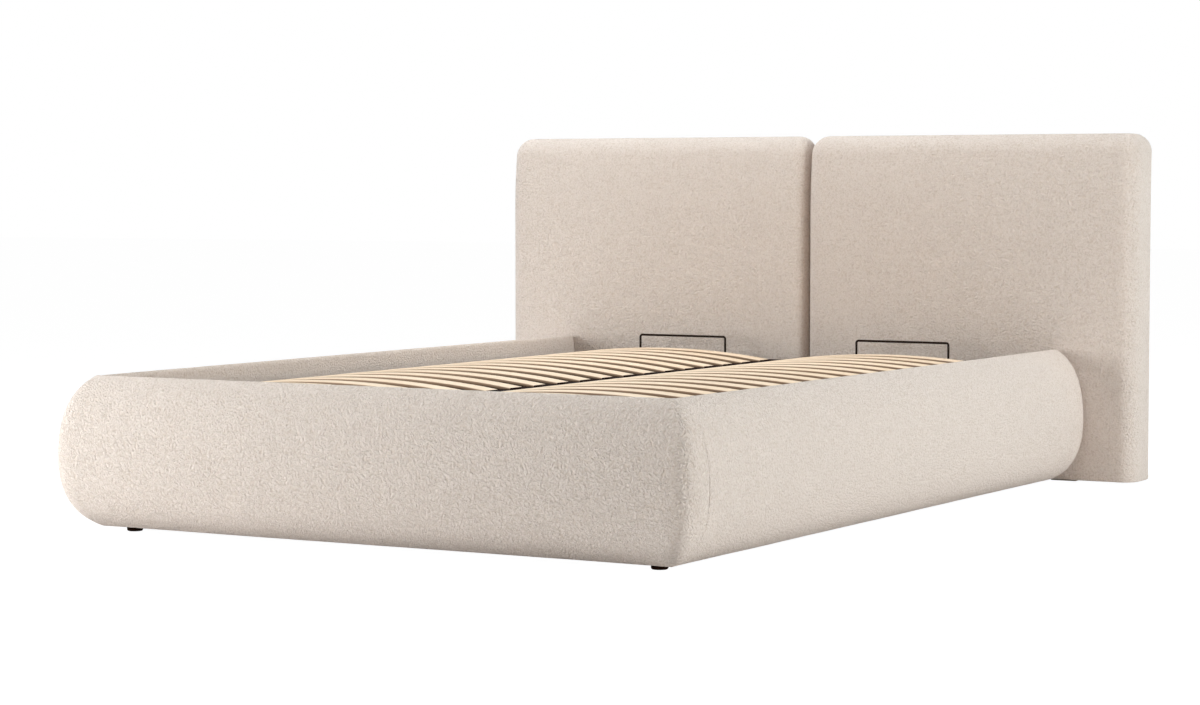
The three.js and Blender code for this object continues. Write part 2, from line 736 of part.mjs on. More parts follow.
function strutRod() {
  const start = strutNeck + strutBottomWall + strutPistonRoom;
  const profile = [
    [0, start],
    [strutBore - seatGap, start],
    [strutBore - seatGap, start + strutPistonLength],
    [strutRodRadius, start + strutPistonLength],
    [strutRodRadius, strutLength],
    [0, strutLength],
  ].map(([r, y]) => new THREE.Vector2(r, y));
  const half = strutEyeWidth / 2;
  const rod = solid(new THREE.LatheGeometry(profile, roundSides));
  return join(rod, crossPin(strutSocketRadius, -half, half, { y: strutLength, z: 0 }));
}

// Assembly
const bed = new THREE.Group();
bed.name = "ottoman_bed";

function piece(name, made, material) {
  const mesh = new THREE.Mesh(made.isBufferGeometry ? made : faces(made), material);
  mesh.name = name;
  return mesh;
}

// Adds a right-hand piece and its mirror image on the left.
function addPair(name, made, material) {
  const geometry = faces(made);
  const left = piece("left_" + name, geometry, material);
  left.scale.x = -1;
  bed.add(piece("right_" + name, geometry, material), left);
}

addPair("side_rail_cover", sideRailCover(), boucle);
bed.add(piece("footboard_cover", footboardCover(), boucle));
addPair("headboard_cover", headboardCover(), boucle);
addPair("side_board", sideBoard(), boardWood);
bed.add(piece("footboard_board", footBoard(), boardWood));
addPair("headboard_board", headboardBoard(), boardWood);
addPair("front_glide", glide(), blackPlastic);
addPair("floor_panel", floorPanel(), floorBoard);
bed.add(piece("centre_floor_beam", floorBeam(), boardWood));
addPair("hinge_plate", hingePlate(), blackSteel);
bed.add(piece("lift_frame", liftFrame(), blackSteel));
addPair("mattress_stop", mattressStop(), blackSteel);

const slatShape = faces(slat());
for (let i = 0; i < slatsPerColumn; i++) {
  const number = String(i + 1).padStart(2, "0");
  const right = piece("right_slat_" + number, slatShape, birch);
  const left = piece("left_slat_" + number, slatShape, birch);
  right.position.y = slatPlace(i);
  left.position.y = slatPlace(i);
  left.scale.x = -1;
  bed.add(right, left);
}

const cylinderShape = faces(strutCylinder());
const rodShape = faces(strutRod());
for (const [side, sign] of [["right_", 1], ["left_", -1]]) {
  const strut = new THREE.Group();
  strut.position.set(sign * strutCentre, strutFoot.y, strutFoot.z);
  strut.rotation.x = strutLean;
  strut.add(piece(side + "strut_cylinder", cylinderShape, blackSteel));
  strut.add(piece(side + "strut_rod", rodShape, brightSteel));
  bed.add(strut);
}

export default bed;
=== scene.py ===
import math
import bmesh
import bpy
import numpy as np
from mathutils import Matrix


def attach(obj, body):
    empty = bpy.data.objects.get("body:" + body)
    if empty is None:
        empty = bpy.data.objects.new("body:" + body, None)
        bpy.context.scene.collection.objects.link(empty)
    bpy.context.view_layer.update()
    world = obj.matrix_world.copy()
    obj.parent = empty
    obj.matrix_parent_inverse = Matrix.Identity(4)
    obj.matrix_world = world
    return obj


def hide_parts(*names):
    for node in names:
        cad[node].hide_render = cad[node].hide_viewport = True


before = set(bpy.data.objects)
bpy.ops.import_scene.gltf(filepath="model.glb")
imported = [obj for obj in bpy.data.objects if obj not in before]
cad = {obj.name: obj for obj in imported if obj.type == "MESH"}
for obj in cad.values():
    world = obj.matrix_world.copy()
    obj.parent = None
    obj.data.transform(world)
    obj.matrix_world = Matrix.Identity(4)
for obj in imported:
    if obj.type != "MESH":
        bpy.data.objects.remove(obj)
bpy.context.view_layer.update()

scene = bpy.context.scene

# Camera at the photograph's place: off the bed's right-hand front corner, below the headboard's top
cameraSet = {
    "place": (3.534, -6.2475, 0.770),  # metres
    "azimuth": 29.945,                 # degrees to the left of the bed's length
    "tilt": 3.182,                     # degrees down
    "lens": 88.35,                     # millimetres on a sensor 36 wide
    "sensor": 36.0,
}
cameraData = bpy.data.cameras.new("camera")
cameraData.lens = cameraSet["lens"]
cameraData.sensor_width = cameraSet["sensor"]
camera = bpy.data.objects.new("camera", cameraData)
camera.location = cameraSet["place"]
camera.rotation_euler = (math.radians(90 - cameraSet["tilt"]), 0, math.radians(cameraSet["azimuth"]))
scene.collection.objects.link(camera)
scene.camera = camera
scene.view_settings.view_transform = "Standard"
print("camera placed")


def gridFaces(rows, cols):
    # quads over a grid of points counted row by row, with the last column joined to the first
    r, c = np.meshgrid(np.arange(rows - 1), np.arange(cols), indexing="ij")
    after = (c + 1) % cols
    above = (r + 1) * cols
    quads = np.stack([r * cols + c, r * cols + after, above + after, above + c], axis=-1)
    return quads.reshape(-1, 4).tolist()


meshSet = {
    "merge": 1e-6,    # metres between points that are one
    "flat": 0.6,      # degrees up to which faces are joined up as one flat face
    "sharp": 35.0,    # degrees over which an edge stays sharp
    "dressed": 32.0,  # the same for the nodes that keep their shape
    "broken": 40.0,   # degrees over which an edge is broken by a bevel
    "steps": 2,       # faces across a bevel
}


def makePiece(name, points, faces, material, body, replaces=(), smooth=meshSet["sharp"]):
    # a closed mesh from its points and faces, with its doubles merged and its faces turned outwards
    mesh = bpy.data.meshes.new(name)
    mesh.from_pydata(np.asarray(points, float).reshape(-1, 3).tolist(), [], faces)
    shape = bmesh.new()
    shape.from_mesh(mesh)
    bmesh.ops.remove_doubles(shape, verts=shape.verts, dist=meshSet["merge"])
    bmesh.ops.recalc_face_normals(shape, faces=shape.faces)
    shape.to_mesh(mesh)
    shape.free()
    return finishPiece(name, mesh, material, body, replaces, smooth)


def finishPiece(name, mesh, material, body, replaces, smooth):
    # the mesh as an object with its material and body; smooth is the angle in degrees over which an edge
    # stays sharp
    piece = bpy.data.objects.new(name, mesh)
    scene.collection.objects.link(piece)
    mesh.materials.append(material)
    mesh.shade_smooth()
    mesh.set_sharp_from_angle(angle=math.radians(smooth))
    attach(piece, body)
    if replaces:
        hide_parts(*replaces)
    return piece


def dressNode(node, material, body, edge):
    # a node's own shape with its flat faces joined up and its sharp edges broken by a small bevel,
    # as wide as edge says
    mesh = bpy.data.meshes.new(node + "_dressed")
    shape = bmesh.new()
    shape.from_mesh(cad[node].data)
    bmesh.ops.remove_doubles(shape, verts=shape.verts, dist=meshSet["merge"])
    bmesh.ops.dissolve_limit(shape, angle_limit=math.radians(meshSet["flat"]), verts=shape.verts,
                             edges=shape.edges)
    shape.to_mesh(mesh)
    shape.free()
    piece = finishPiece(node + "_dressed", mesh, material, body, [node], meshSet["dressed"])
    bevel = piece.modifiers.new("soft edges", "BEVEL")
    bevel.width = edge
    bevel.segments = meshSet["steps"]
    bevel.limit_method = "ANGLE"
    bevel.angle_limit = math.radians(meshSet["broken"])
    bevel.harden_normals = True
    return piece


def sweepRings(rings):
    # closed rings of equal counts, skinned one to the next, with a flat face at each end
    rings = np.asarray(rings, float)
    rows, cols = rings.shape[:2]
    faces = gridFaces(rows, cols)
    faces += [list(range(cols)), list(range((rows - 1) * cols, rows * cols))[::-1]]
    return rings.reshape(-1, 3), faces


def latheRings(profile, sides, centre):
    # a profile of (radius, height) pairs turned once round an upright line
    profile = np.asarray(profile, float)
    turn = np.arange(sides) / sides * 2 * math.pi
    height = np.repeat(profile[:, 1:], sides, axis=1)
    ring = np.stack([profile[:, :1] * np.cos(turn), profile[:, :1] * np.sin(turn), height], axis=-1)
    return ring + np.asarray(centre, float)


def tubeRings(path, radius, sides):
    # a round section carried along a path in an upright plane, square to its direction
    path = np.asarray(path, float)
    ahead = np.gradient(path, axis=0)
    ahead /= np.linalg.norm(ahead, axis=1, keepdims=True)
    side = np.tile([0.0, 1.0, 0.0], (len(path), 1))
    up = np.cross(side, ahead)
    turn = np.arange(sides) / sides * 2 * math.pi
    ring = side[:, None] * np.cos(turn)[None, :, None] + up[:, None] * np.sin(turn)[None, :, None]
    return path[:, None] + radius * ring


def blockwork(xs, ys, zs, filled):
    # a solid of filled cells between the given planes: each face between a full and an empty cell
    xs, ys, zs = (np.asarray(v, float) for v in (xs, ys, zs))
    full = np.pad(np.asarray(filled, bool), 1)
    points, faces = [], []
    corners = {0: ((0, 0, 0), (0, 1, 0), (0, 1, 1), (0, 0, 1)),
               1: ((0, 0, 0), (1, 0, 0), (1, 0, 1), (0, 0, 1)),
               2: ((0, 0, 0), (1, 0, 0), (1, 1, 0), (0, 1, 0))}
    for axis in range(3):
        change = np.argwhere(np.diff(full.astype(int), axis=axis) != 0)
        for corner in corners[axis]:
            cell = change - 1 + np.asarray(corner)
            cell[:, axis] += 1
            points.append(np.stack([xs[cell[:, 0]], ys[cell[:, 1]], zs[cell[:, 2]]], axis=-1))
        count = len(change)
        first = sum(len(p) for p in points) - 4 * count
        faces += (np.arange(count)[:, None] + first + np.arange(4) * count).tolist()
    return np.concatenate(points), faces


waveSet = {"count": 7, "spread": (0.7, 1.4), "broad": 0.7, "narrow": 0.3}


def waves(points, seed, size):
    # a smooth uneven field from -1 to 1: sines of about the given wavelength in seeded directions
    rng = np.random.default_rng(seed)
    total = np.zeros(points.shape[:-1])
    for _ in range(waveSet["count"]):
        direction = rng.normal(size=3)
        direction /= np.linalg.norm(direction)
        wave = 2 * math.pi / (size * rng.uniform(*waveSet["spread"]))
        total += np.sin(points @ direction * wave + rng.uniform(0, 2 * math.pi))
    return total / waveSet["count"]


def unevenness(points, seeds, sizes):
    # 0.7 of a field of broad waves and 0.3 of one of narrow waves, each with its seed and wavelength
    broad, narrow = (waves(points, seed, size) for seed, size in zip(seeds, sizes))
    return waveSet["broad"] * broad + waveSet["narrow"] * narrow


def newMaterial(name):
    # an empty node material with its shader and output, and short ways to add and join nodes
    material = bpy.data.materials.new(name)
    material.use_nodes = True
    nodes, links = material.node_tree.nodes, material.node_tree.links
    nodes.clear()
    output = nodes.new("ShaderNodeOutputMaterial")
    shader = nodes.new("ShaderNodeBsdfPrincipled")
    links.new(shader.outputs[0], output.inputs[0])
    coords = nodes.new("ShaderNodeTexCoord")

    def add(kind, inputs=None, **values):
        # a node with its settings, and each input either linked to a socket or set to a value
        node = nodes.new(kind)
        for key, value in values.items():
            setattr(node, key, value)
        for key, value in (inputs or {}).items():
            if isinstance(value, bpy.types.NodeSocket):
                links.new(value, node.inputs[key])
            else:
                node.inputs[key].default_value = value
        return node

    return material, shader, coords, add, links


def stretched(add, coords, scale):
    # the place on the object in metres, times a scale along each axis
    return add("ShaderNodeMapping", {"Vector": coords.outputs["Object"], "Scale": scale}).outputs[0]


def noise(add, place, scale, detail, **more):
    # a noise texture at a place; more may give its Roughness and Distortion
    inputs = {"Vector": place, "Scale": scale, "Detail": detail}
    return add("ShaderNodeTexNoise", inputs | more)


def mixColours(add, share, first, second):
    # the first colour where the share is 0 and the second where it is 1
    mix = add("ShaderNodeMix", data_type="RGBA", blend_type="MIX")
    sockets = [s for s in mix.inputs if s.enabled]
    for socket, value in zip(sockets, (share, first, second)):
        if isinstance(value, bpy.types.NodeSocket):
            mix.id_data.links.new(value, socket)
        else:
            socket.default_value = value
    return [s for s in mix.outputs if s.enabled][0]


def ramped(add, value, low, high, start=0.0, end=1.0):
    # start where the value is low, end where it is high, in proportion between and level beyond
    return add("ShaderNodeMapRange", {"Value": value, "From Min": low, "From Max": high,
                                      "To Min": start, "To Max": end}).outputs[0]


def combine(add, operation, first, second):
    # the first and the second, joined by the named arithmetic
    return add("ShaderNodeMath", {0: first, 1: second}, operation=operation).outputs[0]


boucleSet = {
    "colour": (0.877, 0.729, 0.642, 1),
    "paintedHollowShade": (0.712, 0.555, 0.451, 1),    # painted shade: darker in the hollows between the loops
    "worn": (0.837, 0.689, 0.599, 1),     # in broad clouds
    "wander": 120.0, "wring": 0.010,      # noise that moves the loops: to the metre, and in metres
    "loops": 250.0, "curls": 380.0,       # to the metre
    "curlRough": 0.55, "curlTwist": 1.2,
    "threads": (22.0, 190.0),             # to the metre, along and across
    "threadRough": 0.6,
    "lint": 1100.0, "clouds": 3.0,        # to the metre
    "loopReach": 0.75,                    # where a loop's height has come down to nothing
    "shares": {"loops": 0.70, "curls": 0.60, "weave": 0.25, "lint": 0.15},
    "tone": (0.60, 1.05),                 # heights that have the painted hollow shade's colour and the loop's colour
    "cloudTone": (0.3, 0.7, 0.0, 0.25),   # from and to which noise, and the shares there
    "bump": 1.0, "depth": 0.0054,
    "rough": 0.95, "specular": 0.2, "sheen": 0.25, "sheenRough": 0.6,
}


def makeBoucle():
    # looped yarn: round cells for the loops, wrung by noise into curls, over a faint level and
    # upright weave of long uneven threads. Height = 0.7 loops + 0.6 curls + 0.25 for each way of
    # the weave + 0.15 lint
    b = boucleSet
    material, shader, coords, add, links = newMaterial("boucle")
    place = coords.outputs["Object"]
    wander = noise(add, place, b["wander"], 2.0)
    bend = add("ShaderNodeVectorMath", {0: wander.outputs["Color"], "Scale": b["wring"]},
               operation="SCALE")
    moved = add("ShaderNodeVectorMath", {0: place, 1: bend.outputs[0]}, operation="ADD").outputs[0]
    loops = add("ShaderNodeTexVoronoi", {"Vector": moved, "Scale": b["loops"], "Randomness": 1.0},
                feature="SMOOTH_F1")
    curls = noise(add, moved, b["curls"], 2.0, Roughness=b["curlRough"], Distortion=b["curlTwist"])
    along, across = b["threads"]
    weave = [noise(add, stretched(add, coords, scale), 1.0, 3.0, Roughness=b["threadRough"])
             for scale in ((along, along, across), (across, across, along))]
    lint = noise(add, place, b["lint"], 2.0)
    shares = b["shares"]
    height = ramped(add, loops.outputs["Distance"], 0.0, b["loopReach"], 1.0, 0.0)
    relief = combine(add, "MULTIPLY", height, shares["loops"])
    for layer, share in ((curls, shares["curls"]), (weave[0], shares["weave"]),
                         (weave[1], shares["weave"]), (lint, shares["lint"])):
        relief = combine(add, "ADD", relief, combine(add, "MULTIPLY", layer.outputs["Fac"], share))
    clouds = noise(add, place, b["clouds"], 2.0)
    # painted shade: the colour darkens from the loops' tops down into the hollows between them
    colour = mixColours(add, ramped(add, relief, *b["tone"]), b["paintedHollowShade"], b["colour"])
    colour = mixColours(add, ramped(add, clouds.outputs["Fac"], *b["cloudTone"]), colour, b["worn"])
    bump = add("ShaderNodeBump", {"Height": relief, "Strength": b["bump"], "Distance": b["depth"]})
    links.new(colour, shader.inputs["Base Color"])
    links.new(bump.outputs[0], shader.inputs["Normal"])
    shader.inputs["Roughness"].default_value = b["rough"]
    shader.inputs["Specular IOR Level"].default_value = b["specular"]
    shader.inputs["Sheen Weight"].default_value = b["sheen"]
    shader.inputs["Sheen Roughness"].default_value = b["sheenRough"]
    return material


woodSet = {
    "birch": {"light": (0.930, 0.715, 0.525, 1), "dark": (0.830, 0.595, 0.395, 1), "rough": 0.55,
              "grain": (1.6, 55.0, 160.0), "plies": True},
    "timber": {"light": (0.640, 0.475, 0.300, 1), "dark": (0.500, 0.345, 0.200, 1), "rough": 0.65,
               "grain": (9.0, 1.2, 70.0), "plies": False},
    "fibreboard": {"light": (0.520, 0.430, 0.330, 1), "dark": (0.430, 0.350, 0.265, 1), "rough": 0.8,
                   "grain": (120.0, 120.0, 120.0), "plies": False},
}
grainSet = {
    "streakShare": 0.6, "streakRough": 0.62, "streakTwist": 0.6,
    "slowShare": 0.4, "slow": 0.2,        # the second layer's scale beside the first's
    "tone": (0.36, 0.64),                 # noise that has the dark and the light colour
    "boards": (0.9, 11.0, 0.5),           # to the metre: tone from one board to the next
    "boardTone": (0.4, 0.62, 0.0, 0.35),  # from and to which noise, and the shares there
    "deep": 0.86,                         # of the light colour
    "bump": 0.25, "depth": 0.0004, "specular": 0.25,
    "gloss": (0.3, 0.7), "smoother": -0.06, "rougher": 0.1,
}
plyAndEdgeShadeSet = {
    "plies": 7.0,                         # dark and light layers in a slat's thickness
    "layers": (0.35, 0.65, 0.80, 1.0),    # from and to which part of a layer, and the shares there
    "under": (0.96, 0.72, 0.0, 0.92),     # painted shade: the same for the edge's darkening further down from the top face, in shares of the thickness
    # the dark layers' colour: real plies, deepened as painted shade on the edge
    "colour": (0.260, 0.140, 0.075, 1),
}


def makeWood(name):
    # long streaks of two layers of noise drawn out along the board, a broader change of tone, and on a
    # slat the dark layers of its edge, which are real plies and also painted shade that deepens down from
    # the top face. Tone = 0.6 streaks + 0.4 slower streaks
    values, g = woodSet[name], grainSet
    material, shader, coords, add, links = newMaterial(name)
    slow = noise(add, stretched(add, coords, tuple(v * g["slow"] for v in values["grain"])), 1.0, 3.0)
    streaks = noise(add, stretched(add, coords, values["grain"]), 1.0, 6.0, Roughness=g["streakRough"],
                    Distortion=g["streakTwist"]).outputs["Fac"]
    boards = noise(add, stretched(add, coords, g["boards"]), 1.0, 1.0)
    blend = combine(add, "ADD", combine(add, "MULTIPLY", streaks, g["streakShare"]),
                    combine(add, "MULTIPLY", slow.outputs["Fac"], g["slowShare"]))
    colour = mixColours(add, ramped(add, blend, *g["tone"]), values["dark"], values["light"])
    deep = tuple(g["deep"] * v for v in values["light"][:3]) + (1,)
    colour = mixColours(add, ramped(add, boards.outputs["Fac"], *g["boardTone"]), colour, deep)
    if values["plies"]:
        split = add("ShaderNodeSeparateXYZ", {0: coords.outputs["UV"]})
        bands = combine(add, "PINGPONG", combine(add, "MULTIPLY", split.outputs[1], plyAndEdgeShadeSet["plies"]), 1.0)
        # painted shade: the dark layers grow stronger further down the edge, below the top face
        under = ramped(add, split.outputs[1], *plyAndEdgeShadeSet["under"])
        pliesAndEdgeShade = combine(add, "MULTIPLY", ramped(add, bands, *plyAndEdgeShadeSet["layers"]), under)
        colour = mixColours(add, pliesAndEdgeShade, colour, plyAndEdgeShadeSet["colour"])
    shader.inputs["Specular IOR Level"].default_value = g["specular"]
    bump = add("ShaderNodeBump", {"Height": streaks, "Strength": g["bump"], "Distance": g["depth"]})
    links.new(colour, shader.inputs["Base Color"])
    links.new(bump.outputs[0], shader.inputs["Normal"])
    gloss = ramped(add, streaks, *g["gloss"], values["rough"] + g["smoother"],
                   values["rough"] + g["rougher"])
    links.new(gloss, shader.inputs["Roughness"])
    return material


plainSet = {
    "powderCoat": {"colour": (0.0200, 0.0125, 0.0085, 1), "metal": 0.0, "rough": 0.75, "scale": 900.0,
                   "depth": 0.00012, "specular": 0.03},
    "blackPlastic": {"colour": (0.0150, 0.0050, 0.0022, 1), "metal": 0.0, "rough": 0.75, "scale": 1400.0,
                     "depth": 0.00008, "specular": 0.03},
    "strutPaint": {"colour": (0.0110, 0.0110, 0.0115, 1), "metal": 0.0, "rough": 0.28, "scale": 300.0,
                   "depth": 0.00003, "specular": 0.5},
    "polishedSteel": {"colour": (0.620, 0.620, 0.630, 1), "metal": 1.0, "rough": 0.16, "scale": 500.0,
                      "depth": 0.00002, "specular": 0.5},
}
hazeSet = {
    "clouds": 14.0,                       # to the metre
    "tone": (0.35, 0.75, 0.0, 0.6),       # from and to which noise, and the shares there
    "paler": 1.5, "lift": 0.004,          # the pale colour = 1.5 of the colour + 0.004
    "gloss": (0.3, 0.7), "smoother": -0.05, "rougher": 0.1, "bump": 0.5,
}


def makePlain(name):
    # one colour a little uneven in tone and gloss, with a fine orange-peel relief
    values, h = plainSet[name], hazeSet
    material, shader, coords, add, links = newMaterial(name)
    peel = noise(add, coords.outputs["Object"], values["scale"], 3.0)
    haze = noise(add, coords.outputs["Object"], h["clouds"], 4.0).outputs["Fac"]
    pale = tuple(min(1.0, v * h["paler"] + h["lift"]) for v in values["colour"][:3]) + (1,)
    colour = mixColours(add, ramped(add, haze, *h["tone"]), values["colour"], pale)
    links.new(colour, shader.inputs["Base Color"])
    gloss = ramped(add, haze, *h["gloss"], values["rough"] + h["smoother"], values["rough"] + h["rougher"])
    links.new(gloss, shader.inputs["Roughness"])
    bump = add("ShaderNodeBump", {"Height": peel.outputs["Fac"], "Strength": h["bump"],
                                  "Distance": values["depth"]})
    links.new(bump.outputs[0], shader.inputs["Normal"])
    shader.inputs["Metallic"].default_value = values["metal"]
    shader.inputs["Specular IOR Level"].default_value = values["specular"]
    return material


boucle = makeBoucle()
birch, timber, fibreboard = (makeWood(name) for name in ("birch", "timber", "fibreboard"))
powderCoat, blackPlastic, strutPaint, polishedSteel = (
    makePlain(name) for name in ("powderCoat", "blackPlastic", "strutPaint", "polishedSteel"))
print("materials made")

air = {
    "frames": 20, "stiff": 60.0, "mass": 0.3,
    "slack": 0.0030, "cap": 0.005,  # metres: drawn in at the start, and moved at the most
    "levels": 10,                   # steps of holding between free and held
}


def airUp(cover, held, pressure):
    # Blender's cloth blows the cover up from within while its held points, from 0 to 1, stay on the
    # frame. It starts drawn in along its normals by slack x (1 - held), and no point moves by more
    # than the cap. The result goes into the mesh, so that no cloth stays on the piece.
    mesh = cover.data
    points, normals = np.zeros(len(mesh.vertices) * 3), np.zeros(len(mesh.vertices) * 3)
    mesh.vertices.foreach_get("co", points)
    mesh.vertex_normals.foreach_get("vector", normals)
    held = np.clip(held(points.reshape(-1, 3)), 0, 1)
    points = points.reshape(-1, 3) - normals.reshape(-1, 3) * (air["slack"] * (1 - held))[:, None]
    mesh.vertices.foreach_set("co", points.ravel())
    group = cover.vertex_groups.new(name="held")
    steps = np.round(held * air["levels"]) / air["levels"]
    for step in np.unique(steps[steps > 0]):
        group.add(np.flatnonzero(steps == step).tolist(), float(step), "REPLACE")
    cloth = cover.modifiers.new("air", "CLOTH")
    cloth.settings.vertex_group_mass = "held"
    cloth.settings.use_pressure = True
    cloth.settings.uniform_pressure_force = pressure
    cloth.settings.effector_weights.gravity = 0
    cloth.settings.mass = air["mass"]
    cloth.settings.tension_stiffness = cloth.settings.compression_stiffness = air["stiff"]
    cloth.point_cache.frame_end = air["frames"]
    for number in range(1, air["frames"] + 1):
        scene.frame_set(number)
    blown = np.zeros(points.size)
    cover.evaluated_get(bpy.context.evaluated_depsgraph_get()).data.vertices.foreach_get("co", blown)
    move = blown.reshape(-1, 3) - points
    length = np.linalg.norm(move, axis=1)
    move *= np.minimum(1, air["cap"] / np.maximum(length, 1e-9))[:, None]
    cover.modifiers.remove(cloth)
    cover.vertex_groups.remove(group)
    mesh.vertices.foreach_set("co", (points + move).ravel())
    mesh.update()
    scene.frame_set(1)
    print(cover.name, "blown up by", np.percentile(length * 1000, (50, 90, 100)).round(1), "mm")


# the recess for the mattress: half its width, where it begins and the front of the headboard
bay = {"half": 0.7275, "foot": -1.088, "headFront": 1.002}
rail = {
    "thick": 0.088, "foot": 0.0075, "middle": 0.172, "crown": 0.364, "centreInset": 0.040,
    "fullness": 2.27, "crest": 0.017, "headEdge": 0.018, "cornerFullness": 3.4,
    "seam": 0.0022, "seamReach": 0.0055,
    "pocket": (0.0253, 0.0447, 0.3003),  # how deep, from which height and up to which
    "step": 0.022, "closing": (0.021, 0.015, 0.010, 0.0065, 0.004, 0.002, 0.0),
    "play": 0.0003,                      # left at the headboard and at the seam
    "sectionPoints": (30, 34, 9),        # below the middle, above it and on the crest
    "endPoints": 7, "cornerPoints": 34, "cornerClose": 1.4,
    "uneven": 0.0010, "waves": (0.33, 0.10), "fade": 8, "sideSeed": 11, "footSeed": 21,
    "pressure": 4.0,
}
railHold = {
    "reach": 0.020, "inside": 1.3, "under": 1.6, "seam": 1.2, "end": 1.3, "foam": 0.4, "noSeam": 9.0,
}


def railSection(shrink):
    # the D section as (out, height): a superellipse, a soft crest, the inner face and the board's pocket
    r = rail
    reach, rise = r["thick"] + r["centreInset"] - shrink, r["crown"] - r["middle"] - shrink
    drop = r["middle"] - r["foot"] - shrink
    power = 2 / r["fullness"]
    low, high = (math.acos(((out + r["centreInset"]) / reach) ** (1 / power))
                 for out in (0.0, r["crest"]))
    below, above, crestPoints = r["sectionPoints"]
    angle = np.concatenate([-low * np.linspace(1, 0, below)[:-1], high * np.linspace(0, 1, above)])
    lift = np.abs(np.sin(angle)) ** power * np.where(angle > 0, rise, -drop)
    outer = np.stack([reach * np.cos(angle) ** power - r["centreInset"], r["middle"] + lift], axis=-1)
    top = r["middle"] + abs(math.sin(low)) ** power * rise
    t = np.linspace(0, 1, crestPoints)[1:, None]
    crest = (1 - t) ** 2 * outer[-1] + 2 * t * (1 - t) * [0, top] + t ** 2 * [0, top - r["crest"]]
    deep, bottom, ceiling = r["pocket"]
    face = np.array([[0, ceiling], [deep, ceiling], [deep, bottom], [0, bottom]])
    return np.concatenate([outer, crest, face]), len(outer) + len(crest)


def railSkin(stations, seed):
    # the section set up at each station, which is a point on the inner edge, the way out from it
    # and how far the skin is drawn in, and then moved along its normal by two layers of waves that
    # fade towards the inner face
    rings = []
    for x, y, outX, outY, shrink in stations:
        section = railSection(shrink)[0]
        out, height = section[:, 0], section[:, 1]
        rings.append(np.stack([x + out * outX, y + out * outY, height], axis=-1))
    rings = np.asarray(rings)
    plain, softCount = railSection(0)
    out = np.asarray([[s[2], s[3], 0.0] for s in stations])[:, None]
    out = out / np.linalg.norm(out, axis=-1, keepdims=True)
    slope = np.gradient(plain[:softCount], axis=0)
    slope /= np.linalg.norm(slope, axis=1, keepdims=True)
    away = out * slope[None, :, 1:] + np.array([0, 0, 1.0]) * -slope[None, :, :1]
    soft = rings[:, :softCount]
    field = unevenness(soft, (seed, seed + 1), rail["waves"])
    edge = np.minimum(1, np.abs(np.arange(softCount) - (softCount - 1)) / rail["fade"])
    rings[:, :softCount] += away * (rail["uneven"] * field * edge)[..., None]
    return rings


def seamShrink(distance):
    # the skin is drawn in beside a seam by a bell curve of the distance from it
    return rail["seam"] * np.exp(-(distance / rail["seamReach"]) ** 2)


def runTo(start, end):
    # places along a straight run in steps that close up over the last stretch, before a seam
    count = max(2, round(abs(end - start) / rail["step"]))
    close = end - np.sign(end - start) * np.array(rail["closing"])
    return np.concatenate([np.linspace(start, close[0], count)[:-1], close])


def sideStations():
    # from the soft end at the headboard to the seam where the footboard's padding begins
    r, b = rail, bay
    head, seam = b["headFront"] - r["play"], b["foot"] + r["play"]
    stations = [(b["half"], head - r["headEdge"] * (1 - math.cos(angle)), 1.0, 0.0,
                 r["headEdge"] * (1 - math.sin(angle)))
                for angle in np.linspace(0, math.pi / 2, r["endPoints"])]
    return stations + [(b["half"], y, 1.0, 0.0, seamShrink(y - seam))
                       for y in runTo(head - r["headEdge"], seam)[1:]]


def footStations():
    # the straight front with a turn at both ends, in angles that close up towards the seams. The way
    # out is stretched by (sin^n + cos^n)^(-1/n), which makes each turn a superellipse from above
    b, n = bay, rail["cornerFullness"]
    right = []
    share = 1 - (1 - np.linspace(0, 1, rail["cornerPoints"])) ** rail["cornerClose"]
    for a in share[1:] * math.pi / 2:
        s, c = math.sin(a), max(0.0, math.cos(a))
        stretch = (s ** n + c ** n) ** (-1 / n)
        right.append((b["half"], b["foot"], s * stretch, -c * stretch,
                      seamShrink((math.pi / 2 - a) * rail["thick"])))
    left = [(-x, y, -outX, outY, shrink) for x, y, outX, outY, shrink in right[::-1]]
    run = np.linspace(-b["half"], b["half"], 1 + round(2 * b["half"] / rail["step"]))
    return left + [(x, b["foot"], 0.0, -1.0, 0.0) for x in run] + right


def railHeld(points):
    # the cover is stapled along its inside and underneath, sewn at the seams and lies on foam
    # elsewhere. Each hold fades in proportion to the distance, and the strongest one counts; the
    # front's straight run has no seam
    h = railHold
    x, y, z = points.T
    inside = h["inside"] - np.maximum(np.abs(x) - bay["half"], bay["foot"] - y) / h["reach"]
    under = h["under"] - z / h["reach"]
    seam = h["seam"] - np.abs(y - bay["foot"]) / h["reach"] - h["noSeam"] * (np.abs(x) < bay["half"])
    end = h["end"] - (bay["headFront"] - y) / h["reach"]
    return np.max([inside, under, seam, end, np.full(len(points), h["foam"])], axis=0)


for side, sign in (("right", 1), ("left", -1)):
    points, faces = sweepRings(railSkin(sideStations(), rail["sideSeed"] + sign) * [sign, 1, 1])
    cover = makePiece(side + "_side_rail_padding", points, faces, boucle, "bed_frame",
                      [side + "_side_rail_cover"])
    airUp(cover, railHeld, rail["pressure"])
points, faces = sweepRings(railSkin(footStations(), rail["footSeed"]))
cover = makePiece("footboard_padding", points, faces, boucle, "bed_frame",
                  ["footboard_cover"])
airUp(cover, railHeld, rail["pressure"])
print("rails and footboard padded")

